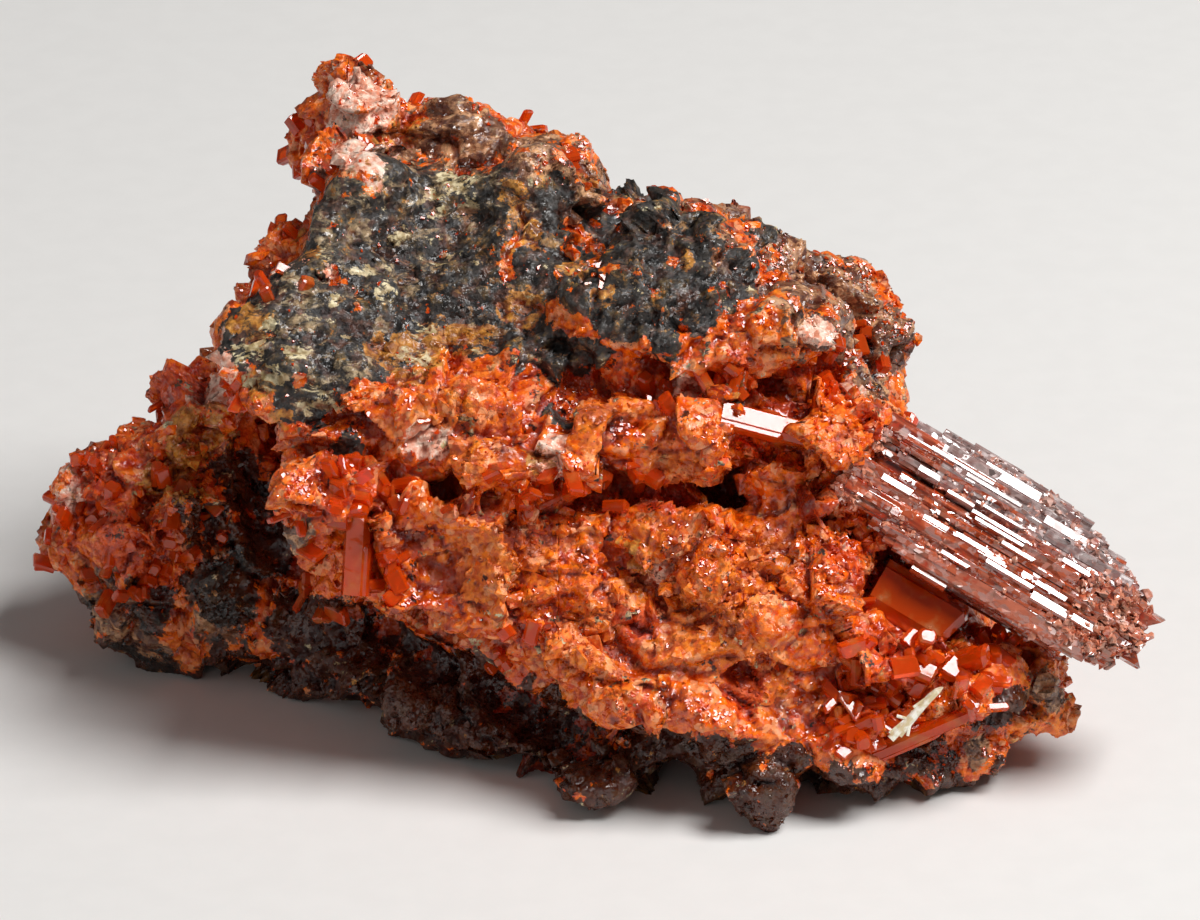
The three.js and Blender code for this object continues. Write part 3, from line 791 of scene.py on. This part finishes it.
# Thick ones inside hold the rest: start, lane and height, then length, half breadth and half thickness
CORE = np.array([
    (2.3, 11.6, 5.35, 9.0, 0.55, 0.7), (2.3, 10.75, 5.05, 10.4, 0.5, 0.9), (2.6, 9.95, 5.5, 10.1, 0.42, 1.0),
    (4.4, 9.35, 5.4, 7.9, 0.4, 0.95), (6.4, 9.15, 5.7, 4.4, 0.25, 0.8), (2.3, 10.2, 4.3, 7.2, 1.0, 0.55),
    (4.6, 12.1, 5.3, 5.3, 0.3, 0.4), (6.0, 11.3, 4.7, 5.3, 0.5, 0.5), (7.0, 9.6, 4.5, 5.2, 0.5, 0.5),
    (5.7, 12.5, 5.3, 3.2, 0.25, 0.35),
])

# How far out its back and its front lie across it, and how far along its bars end: lanes, then distances
BACK = ([8.2, 8.9, 9.9, 10.8, 11.5, 12.2, 12.9], [5.0, 4.6, 4.1, 4.1, 4.7, 4.95, 5.1])
FACE = ([8.2, 8.7, 9.4, 10.6, 11.4, 12.2, 12.9], [6.2, 6.6, 6.8, 6.7, 6.45, 5.95, 5.6])
TIP = ([8.8, 9.2, 10.1, 10.8, 11.4, 12.0, 12.6, 12.8], [10.4, 12.4, 12.95, 12.9, 12.5, 11.1, 9.3, 7.5])


def on_bundle(u, v):
    """How far along and across the bundle its front lies on a pixel's line of sight: the camera's place
    plus t times its direction, with t such that the point lies 6.4 mm out."""
    start = (np.array(camera.location) / MM - BUNDLE_FOOT) @ BUNDLE_FRAME.T
    way = (np.array(sharp_at(u, v) - camera.location) / MM) @ BUNDLE_FRAME.T
    return (start + way * (6.4 - start[2]) / way[2])[:2]


def in_groove(along, lane):
    """1 in the groove along its front, falling as exp(-(distance / 0.2) ** 2), and 0 past 7 mm along."""
    return np.exp(-(((lane - 11.03 + 0.015 * along) / 0.2) ** 2)) * (along < 7)


# Its brightest faces, as the pixels of both ends, the breadth in pixels and the turn
BRIGHT = [
    (907, 438, 954, 460, 5, -0.52), (880, 480, 912, 494, 8, -0.52), (945, 495, 974, 506, 4, -0.52),
    (975, 503, 1022, 531, 3, -0.52), (970, 514, 1030, 545, 4, -0.5), (973, 521, 1024, 548, 4, -0.55),
    (957, 539, 986, 552, 6, -0.52), (985, 561, 1033, 588, 10, -0.52), (1030, 596, 1064, 616, 10, -0.5),
    (1034, 584, 1065, 602, 6, -0.55), (912, 566, 945, 588, 9, -0.52), (1000, 544, 1032, 562, 5, -0.5),
    (918, 469, 938, 481, 7, -0.5), (922, 518, 946, 533, 8, -0.47), (965, 478, 1022, 506, 4, -0.45),
    (940, 552, 966, 570, 5, -0.52), (862, 412, 932, 446, 20, -0.3), (940, 455, 1000, 480, 14, -0.44),
    (985, 468, 1040, 500, 12, -0.47), (868, 492, 900, 506, 7, -0.4), (1045, 520, 1085, 545, 10, -0.4),
    (900, 430, 935, 446, 10, -0.2), (1062, 560, 1088, 578, 6, -0.5), (1070, 618, 1098, 634, 8, -0.46),
]

# The bars on its front and back, four to a lane, each with its start, its lane and how far out it lies
random = np.random.default_rng(11)
LANES = 30
places, sizes, tilts = [CORE[:, :3]], [CORE[:, 3:]], [random.normal(0, 0.04, len(CORE))]
for faces_out in (1, -1):
    count = LANES * 4
    lane = np.repeat(np.linspace(8.9, 12.65, LANES), 4) + random.normal(0, 0.04, count)
    starts = np.tile([2.2, 4.6, 7.0, 9.4], LANES) + random.normal(0, 1.0, count)
    starts = np.maximum(starts, np.interp(lane, [8.8, 9.3, 9.8, 12.0, 12.7], [6.2, 4.4, 2.2, 1.8, 5.6]))
    ends = starts + random.uniform(1.6, 6.5, count)
    ends = np.minimum(ends, np.interp(lane, *TIP) - 0.3 + random.normal(0, 0.15, count))
    if faces_out == 1:
        face = np.interp(lane, *FACE) + random.normal(0, 0.1, count) - 0.9 * in_groove(starts, lane)
    else:
        face = np.interp(lane, *BACK) + random.normal(0, 0.07, count)
    broad = 0.07 + 0.3 * random.random(count) ** 2
    thick = random.uniform(0.14, 0.36, count)
    keep = ends - starts > 0.4
    places.append(np.stack([starts, lane, face - faces_out * thick], 1)[keep])
    sizes.append(np.stack([ends - starts, broad, thick], 1)[keep])
    # Some share one turn, so they shine together
    shines = random.random(count) < 0.08
    turn = np.where(shines, random.normal(-0.5, 0.08, count), random.normal(0.1, 0.2, count))
    tilts.append(turn[keep])
for u0, v0, u1, v1, breadth, turn in BRIGHT:
    first, last = on_bundle(u0, v0), on_bundle(u1, v1)
    middle = (first + last) / 2
    places.append([(first[0], middle[1], np.interp(middle[1], *FACE) - 0.02)])
    sizes.append([(last[0] - first[0], breadth * PIXEL / MM * 0.58, 0.16)])
    tilts.append([turn])
places, sizes, tilts = np.concatenate(places), np.concatenate(sizes), np.concatenate(tilts)
frames = rolled(np.repeat(BUNDLE_FRAME[None], len(tilts), 0), tilts)
bar_points, bar_faces, owner = copies(BARS, places @ BUNDLE_FRAME + BUNDLE_FOOT, frames, sizes)
# Painted sheen: the upper lanes are made grey, standing for the sheen they reflect
painted_sheen = np.clip((places[:, 1] - 11.0) / 0.5, 0, 1) * (places[:, 0] > 3.5)
even = np.arange(len(tilts)) >= len(tilts) - len(BRIGHT)
bar_numbers = {
    "tint": (random.random(len(tilts)) * ~even)[owner],
    "painted_sheen": painted_sheen[owner],
    "crust": np.zeros(len(owner)),
    "even": even[owner],
}

bars, bar_sizes = places, sizes

# Small broken pieces of it along the tip, the upper edge and the groove
count = 9000
start = random.uniform(2.4, 13.4, count)
lane = random.uniform(8.85, 12.75, count)
edge = np.interp(lane, *TIP)
tip = np.clip((start - edge + 3.0) / 1.6, 0, 1)
upper = np.clip((lane - 11.3) / 0.5, 0, 1)
groove = in_groove(start, lane)
root = np.clip((3.6 - start) / 1.0, 0, 1)
patchy = np.clip(rough(np.column_stack([start * 0.6, lane, lane * 0]), 0.6, 71) * 2.0 + 0.05, 0, 1)
keep = random.random(count) < 0.06 + 0.8 * tip + 0.2 * upper + 0.3 * groove + root + 0.6 * patchy
keep &= (start < edge + 0.1) & ((start > 6.2) | (lane > 9.3)) & ((start > 5) | (lane < 12.2))
face = np.interp(lane, *FACE) + 0.08 - 0.9 * groove
face = face - random.random(count) * 0.2 - 1.6 * np.clip(start - edge + 0.6, 0, 0.6) * random.random(count)
face = np.where(random.random(count) < 0.3, np.interp(lane, *BACK) - 0.1 + random.random(count) * 0.2, face)
crumbs = np.stack([start, lane, face], 1)[keep]
sizes = (0.03 + 0.1 * random.random((len(crumbs), 1)) ** 2) * random.uniform(0.7, 1.2, (len(crumbs), 3))
sizes *= 1 + 0.8 * root[keep][:, None] + 0.7 * tip[keep][:, None]

# Only those that touch a bar, or another that is held, stay: the distance to a bar's box, or to the
# middle of a held one, is under 0.6 of the mean radii
reach = sizes.mean(1)
past = [np.maximum(bars[:, 0] - crumbs[:, :1], crumbs[:, :1] - bars[:, 0] - bar_sizes[:, 0])]
past += [np.abs(crumbs[:, n, None] - bars[:, n]) - 0.9 * bar_sizes[:, n] for n in (1, 2)]
held = np.sqrt((np.maximum(past, 0) ** 2).sum(0)).min(1) < 0.6 * reach
for _ in range(4):
    loose = np.flatnonzero(~held)
    apart = np.linalg.norm(crumbs[loose, None] - crumbs[held], axis=2)
    held[loose] = (apart < 0.6 * (reach[loose, None] + reach[held])).any(1)
crumbs, sizes, upper = crumbs[held], sizes[held], upper[keep][held]
frames = random_frames(random, len(crumbs))
crumb_points, crumb_faces, owner = copies(CHUNKS[0], crumbs @ BUNDLE_FRAME + BUNDLE_FOOT, frames, sizes)
crumb_numbers = {
    "tint": random.random(len(crumbs))[owner],
    "painted_sheen": (upper * 0.45)[owner],
    "crust": np.ones(len(owner)),
    "even": np.zeros(len(owner)),
}

made, base, surface, place = material("striated_crocoite")
turned = [
    base.node("VectorMath", {"operation": "DOT_PRODUCT"}, {0: place, 1: tuple(axis)}, "Value")
    for axis in (ALONG * 0.25, ACROSS * 3.0, OUT * 3.0)
]
lengthwise = base.node("CombineXYZ", values=dict(enumerate(turned)))
streaks = lengthwise.noise(2.2, 5.0)
spots = place.noise(2.4, 5.0)
tint, painted_sheen, crust, even = (base.stored(name) for name in bar_numbers)
colour = streaks.rise(0.35, 0.65).between(rgb(128, 40, 16), rgb(204, 92, 50))
# Painted sheen: some bars are paled towards mauve at random, standing for the light their broad faces reflect
colour = (tint.rise(0.6, 0.95) * 0.5).between(colour, rgb(188, 120, 100))
# The crumbs are paler pink, partly their own colour and partly painted glint
colour = (crust * (tint * 0.8 + 0.2)).between(colour, rgb(240, 158, 124))
colour = (spots.rise(0.54, 0.68) * 0.5).between(colour, rgb(134, 92, 60))
colour = (spots.rise(0.42, 0.32) * 0.8).between(colour, rgb(186, 52, 16))
# Painted sheen: grey laid over the bars and crumbs of the upper lanes
grey = spots.rise(0.35, 0.65).between(rgb(128, 112, 110), rgb(204, 192, 190))
colour = (painted_sheen * 0.75).between(colour, grey)
colour.feed(surface["Base Color"])
shine = 0.1 + spots.rise(0.5, 0.6) * 0.25 + streaks.rise(0.4, 0.7) * 0.08 + painted_sheen * 0.12 + crust * 0.12
shine.feed(surface["Roughness"])

# Its splinters lean at random too, except on the bright faces
splinters = base.vector("ADD", place, lengthwise.scaled(0.4)).cells(3.6)
tilt = (spots.rise(0.4, 0.5) + painted_sheen * 0.4 + crust * 0.5 + 0.14) * (1.0 - even)
leaning = base.vector("SUBTRACT", splinters, (0.5, 0.5, 0.5)).scaled(tilt)
outer = base.vector("NORMALIZE", base.vector("ADD", base.node("NewGeometry", out="Normal"), leaning))
ribs = base.node("Bump", values={"Height": streaks, "Normal": outer, "Strength": 0.25, "Distance": 0.02 * MM})
ribs.feed(surface["Normal"])
surface["IOR"].default_value = 2.3
points = np.concatenate([bar_points, crumb_points])
faces = np.concatenate([bar_faces, crumb_faces + len(bar_points)])
numbers = {name: np.concatenate([bar_numbers[name], crumb_numbers[name]]) for name in bar_numbers}

# Rock crumbs close the seam around its root
count = 520
seam = np.concatenate([
    random.uniform((1.5, 9.3, 5.2), (2.8, 12.3, 6.7), (count // 2, 3)),
    random.uniform((1.9, 8.5, 4.4), (4.6, 9.5, 6.1), (count // 2, 3)),
])
sizes = random.uniform(0.1, 0.36, (count, 3))
frames = random_frames(random, count)
seam_points, seam_faces, _ = copies(CHUNKS[0], seam @ BUNDLE_FRAME + BUNDLE_FOOT, frames, sizes)
reddish = {"red": np.full(len(seam_points), 0.45)}
dressed("seam_grains", rock_material, "matrix", seam_points, seam_faces, reddish)
dressed("striated_bars", made, "striated_bundle", points, faces, numbers)


# The clear crystals are crocoite too: deep orange-red prisms with slanted ends. Each stands in the rock by
# its root, and thinner ones have grown along it.
def crystal_shape(seed, lean):
    """A prism with slightly uneven faces and a slanted, bevelled end."""
    uneven = np.random.default_rng(seed)
    ring = eight_sided((1, 0.5), (0.7, 1)) * uneven.uniform(0.85, 1.05, (8, 2))
    foot = np.column_stack([np.zeros(8), ring])
    shoulder = np.column_stack([0.92 + lean * ring[:, 0], ring])
    tip = np.column_stack([1 + lean * ring[:, 0] * 0.7, ring * 0.72])
    return hull(np.concatenate([foot, shoulder, tip]))


made, base, surface, place = material("clear_crocoite")
veil = place.noise(1.6, 5.0)
colour = veil.rise(0.5, 0.75).between(rgb(255, 90, 12), rgb(255, 144, 64))
colour.feed(surface["Base Color"])
haze = 0.04 + veil.rise(0.55, 0.75) * 0.25
haze.feed(surface["Roughness"])
ripple = base.node("Bump", values={"Height": veil, "Strength": 0.5, "Distance": 0.05 * MM})
ripple.feed(surface["Normal"])
surface["IOR"].default_value = 1.55
surface["Transmission Weight"].default_value = 0.6
depth = base.node("VolumeAbsorption", values={"Color": rgb(246, 70, 10), "Density": 110.0}, out="Volume")
depth.feed(made.node_tree.nodes["Material Output"].inputs["Volume"])
clear_material = made
CRYSTALS = [crystal_shape(seed, lean) for seed, lean in ((1, 0.08), (2, -0.1), (3, 0.05), (4, -0.04))]


def in_bundle(along, across, out):
    """A point from its place along, across and out of the bundle, in mm from its foot."""
    return np.array([along, across, out]) @ BUNDLE_FRAME


# Each as its root and tip in mm from the bundle's foot, the way its broad face looks, its breadth and
# thickness, and its roll
CLEAR = {
    "blade_crystal": ((3.6, -2.4, 11.5), (6.7, -2.3, 10.55), (0.27, -0.58, 0.77), 0.85, 0.7, 0.0),
    "gem_prism": (in_bundle(5.1, 7.6, 5.5), in_bundle(7.9, 7.6, 5.5), OUT, 1.75, 1.6, -0.35),
    "pocket_prism": (in_bundle(2.4, 8.0, 5.0), in_bundle(4.3, 7.9, 5.7), OUT, 1.2, 1.0, 0.3),
    "cross_prism": ((10.2, -4.65, 3.85), (11.65, -5.25, 4.85), OUT, 0.7, 0.7, 0.4),
    "edge_prism": ((8.2, -6.5, 2.1), (11.3, -6.1, 3.4), OUT, 0.5, 0.6, 0.4),
    "tabular_crystal": ((-7.35, -4.4, 6.4), (-7.2, -3.3, 8.75), (-0.3, -0.86, 0.4), 0.85, 1.1, 0.1),
    "peak_crystal": ((-7.2, 8.4, 13.8), (-8.7, 8.1, 15.8), (-0.3, -0.9, 0.3), 1.3, 1.1, 0.3),
}
random = np.random.default_rng(23)
for name, (root, tip, out, broad, thick, roll) in CLEAR.items():
    root, tip, out = np.array(root) + BUNDLE_FOOT, np.array(tip) + BUNDLE_FOOT, np.array(out)
    length = np.linalg.norm(tip - root)
    along = (tip - root) / length
    out = out - along * (along @ out)
    out = out / np.linalg.norm(out)
    frame_of = np.stack([along, np.cross(out, along), out])
    # The crystal itself, and thinner ones grown along it that end before it does
    shares = np.array([1.0, 0.8, 0.62])
    across = np.array([(0, 0), (0.4, -0.1), (-0.42, 0.06)]) * (broad, thick)
    girths = np.array([(0.47, 0.46), (0.12, 0.34), (0.14, 0.3)]) * (broad, thick)
    girths = girths * random.uniform(0.9, 1.05, girths.shape)
    frames = rolled(np.repeat(frame_of[None], 3, 0), roll + random.normal(0, 0.03, 3))
    starts = root + across @ frame_of[1:]
    sizes = np.column_stack([shares * length, girths])
    points, faces, _ = copies(CRYSTALS, starts, frames, sizes)
    dressed(name.split("_")[0] + "_growth", clear_material, name, points, faces)

# Small ones line the pocket, the left shoulder, the lobe and the hollow under the front's lip
POCKET = [
    (1000, 640), (1008, 645), (993, 650), (850, 665), (870, 690), (890, 700), (850, 710), (905, 660),
    (925, 690), (880, 660), (835, 690), (945, 670), (960, 690), (915, 715), (870, 725), (900, 740),
    (840, 730), (985, 690), (930, 655),
]
SHOULDER = [
    (320, 480), (345, 480), (330, 510), (380, 490), (385, 560), (310, 540), (400, 500), (365, 470),
    (390, 590), (375, 530), (310, 590), (330, 610),
]
LOBE = [
    (90, 470), (110, 500), (75, 520), (130, 440), (150, 420), (170, 400), (100, 560), (130, 590),
    (60, 550), (180, 560), (160, 500), (200, 520), (320, 140), (310, 160), (335, 170), (300, 230),
    (260, 240),
]
BAND = [
    (560, 480), (600, 480), (640, 470), (690, 400), (720, 380), (660, 390), (480, 480), (520, 470),
    (780, 410), (820, 410), (850, 360), (870, 340), (540, 640), (500, 650),
]
ends = [
    np.repeat([spot(*pixel) for pixel in pixels], each, 0) + random.normal(0, spread, (len(pixels) * each, 3))
    for pixels, each, spread in ((POCKET, 6, 0.35), (SHOULDER, 4, 0.3), (LOBE, 5, 0.45), (BAND, 4, 0.4))
]
# Others stand in clusters on the sides and back
ends.append(on_skin(random, 260, away * np.clip(rough(skin, 2.2, 95) * 2 - 0.5, 0, 1) * (skin[:, 2] > 1))[0])
ends = np.concatenate(ends)
nearest = np.array([np.argmin(((skin - end) ** 2).sum(1)) for end in ends])
frames = turned_to(random, outward[nearest], 0.6)


# A face that looks this way sends the overhead light to the front
TO_LIGHT = np.array((0.26, -0.58, 0.77))


def facing_light(frames, spread):
    """The frames with their third axis turned to TO_LIGHT plus normal noise: c = that made unit, a less
    its part along c, and b square to them."""
    third = TO_LIGHT + random.normal(0, spread, (len(frames), 3))
    third /= np.linalg.norm(third, axis=1, keepdims=True)
    first = frames[:, 0] - (frames[:, 0] * third).sum(1, keepdims=True) * third
    first /= np.linalg.norm(first, axis=1, keepdims=True)
    return np.stack([first, np.cross(third, first), third], 1)


in_pocket = np.arange(len(ends)) < len(POCKET) * 6
shining = random.random(len(ends)) < np.where(in_pocket, 0.3, 0.1)
frames[shining] = facing_light(frames[shining], 0.1)
sizes = random.uniform((0.35, 0.1, 0.08), (0.85, 0.32, 0.24), (len(ends), 3))
places = skin[nearest] - frames[:, 0] * 0.2

# Thin flakes lie on the rock wherever it slopes about that way, and glint together
upward = np.clip((outward @ TO_LIGHT - 0.7) * 3, 0, 1)
PLATES = []
for corners in (5, 6, 7, 5):
    angles = np.sort(random.random(corners)) * 2 * np.pi + np.arange(corners) * 0.02
    rim = np.stack([np.cos(angles), np.sin(angles)], 1) * random.uniform(0.7, 1.1, (corners, 1))
    PLATES.append(hull(np.column_stack([np.tile(rim, (2, 1)), np.repeat((-1, 1), corners)])))
bright = upward * (1 - 0.93 * masks["black"]) * (1 - masks["painted_shade"]) * (1 - 0.6 * masks["earthy"])
FLAKES = 4200
flakes, corner = on_skin(random, FLAKES, bright * np.clip(rough(skin, 1.1, 81) + 0.15, 0, 1))
flat = facing_light(turned_to(random, outward[corner], 1.0), 0.1)
girths = 0.02 + 0.09 * random.random((FLAKES, 1)) ** 3
girths = girths * random.uniform((0.7, 0.5, 0.25), (1.4, 1.0, 0.4), (FLAKES, 3))
flakes = flakes + outward[corner] * 0.03

# A broken face on the crag shines like metal
MIRROR = [
    (594, 266), (604, 268), (598, 278), (608, 283), (590, 284), (600, 291), (420, 413), (428, 418),
    (655, 392),
]
mirrors = skin[[np.argmin(((skin - spot(*pixel)) ** 2).sum(1)) for pixel in MIRROR]] + (0, -0.05, 0.06)
mirror_frames = facing_light(turned_to(random, np.tile((0.3, -0.6, 0.7), (len(MIRROR), 1)), 0.8), 0.05)
mirror_girths = random.uniform((0.12, 0.1, 0.03), (0.24, 0.16, 0.06), (len(MIRROR), 3))
flakes = np.concatenate([flakes, mirrors])
flat = np.concatenate([flat, mirror_frames])
points, faces, _ = copies(PLATES, flakes, flat, np.concatenate([girths, mirror_girths]))
dressed("glinting_flakes", clear_material, "matrix", points, faces)
points, faces, _ = copies(CRYSTALS, places, frames, sizes)
dressed("small_crystals", clear_material, "matrix", points, faces)


# The pale needle is a cream-coloured crystal with fine twigs. It lies in front of the pocket, held by the
# crystals there.
made, base, surface, place = material("pale_crystal")
lines = place.noise(5.0, 3.0)
colour = lines.rise(0.35, 0.65).between(rgb(220, 200, 158), rgb(255, 252, 238))
colour.feed(surface["Base Color"])
surface["Roughness"].default_value = 0.25
needle = np.array([(8.7, -7.0, 2.9), (10.15, -6.3, 4.25)]) + BUNDLE_FOOT
way = needle[1] - needle[0]
side = np.cross(way, (0, -0.89, 0.45))
side = side / np.linalg.norm(side)
PIECES = np.array([
    (0.0, 1.0, 0.0, 0.0, 0.11), (0.12, 0.86, 0.14, 0.02, 0.06), (0.05, 0.5, -0.13, -0.02, 0.06),
    (0.3, 0.42, -0.35, 0.12, 0.05), (0.2, 0.5, 0.3, -0.1, 0.05), (0.55, 0.95, -0.16, 0.0, 0.05),
])
starts = needle[0] + PIECES[:, :1] * way + PIECES[:, 2:3] * side
tips = needle[0] + PIECES[:, 1:2] * way + PIECES[:, 3:4] * side
lengths = np.linalg.norm(tips - starts, axis=1, keepdims=True)
frames = turned_to(random, (tips - starts) / lengths, 0.0)
points, faces, _ = copies(CRYSTALS, starts, frames, np.column_stack([lengths, PIECES[:, 4], PIECES[:, 4]]))
dressed("needle_twigs", made, "pale_needle", points, faces)
